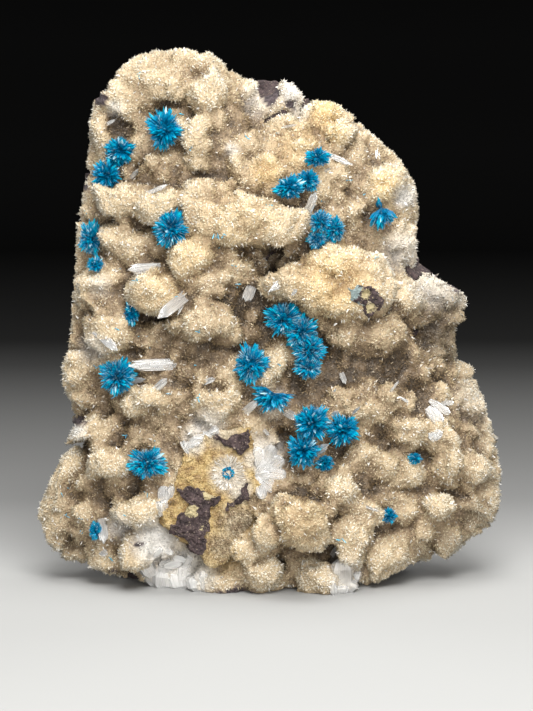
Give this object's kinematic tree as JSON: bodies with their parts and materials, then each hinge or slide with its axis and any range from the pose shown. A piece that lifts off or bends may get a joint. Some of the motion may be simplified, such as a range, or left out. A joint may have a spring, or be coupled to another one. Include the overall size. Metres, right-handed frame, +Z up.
{
  "type": "cavansite mineral specimen",
  "caption": "Upright mineral specimen: blue spiky cavansite rosettes and clear stilbite blades on a beige drusy crust over dark basalt, with a flat cut base.",
  "frame": {"origin": "middle of the specimen's footprint, on the cut base", "axes": "+Z up through the crown, -Y out of the crystal face, +X to the right seen from the front"},
  "size_m": [0.1032, 0.0636, 0.1182],
  "materials": {
    "basalt": "dark purplish grey-brown vesicular rock, rough and dull",
    "crust": "beige translucent druse of tiny sparkling crystals",
    "ochre_plate": "ochre and cream fine druse, waxy",
    "cavansite": "vivid blue radiating blades, vitreous",
    "stilbite": "white to clear tabular crystals, pearly and vitreous"
  },
  "bodies": {
    "root": {"basalt_host": "basalt", "drusy_crust": "crust", "contact_plate": "ochre_plate", "basalt_scab_mound": "basalt", "basalt_scab_plate_main": "basalt", "basalt_scab_plate_right": "basalt", "basalt_scab_plate_top": "basalt", "cavansite_1": "cavansite", "cavansite_2": "cavansite", "cavansite_3": "cavansite", "cavansite_4": "cavansite", "cavansite_5": "cavansite", "cavansite_6": "cavansite", "cavansite_7": "cavansite", "cavansite_8": "cavansite", "cavansite_9": "cavansite", "cavansite_10": "cavansite", "cavansite_11": "cavansite", "cavansite_12": "cavansite", "cavansite_13": "cavansite", "cavansite_14": "cavansite", "cavansite_15": "cavansite", "cavansite_16": "cavansite", "cavansite_17": "cavansite", "cavansite_18": "cavansite", "cavansite_19": "cavansite", "cavansite_20": "cavansite", "cavansite_21": "cavansite", "cavansite_22": "cavansite", "stilbite_blade_1": "stilbite", "stilbite_blade_2": "stilbite", "stilbite_blade_3": "stilbite", "stilbite_blade_4": "stilbite", "stilbite_blade_5": "stilbite", "stilbite_blade_6": "stilbite", "stilbite_blade_7": "stilbite", "stilbite_blade_8": "stilbite", "stilbite_blade_9": "stilbite", "stilbite_blade_10": "stilbite", "stilbite_blade_11": "stilbite", "stilbite_blade_12": "stilbite", "stilbite_blade_13": "stilbite", "stilbite_blade_14": "stilbite", "stilbite_cluster_book": "stilbite", "stilbite_cluster_crest": "stilbite", "stilbite_cluster_foot": "stilbite", "stilbite_cluster_left_block": "stilbite", "stilbite_cluster_low_left": "stilbite", "stilbite_cluster_right_of_plate": "stilbite"}
  },
  "joints": []
}
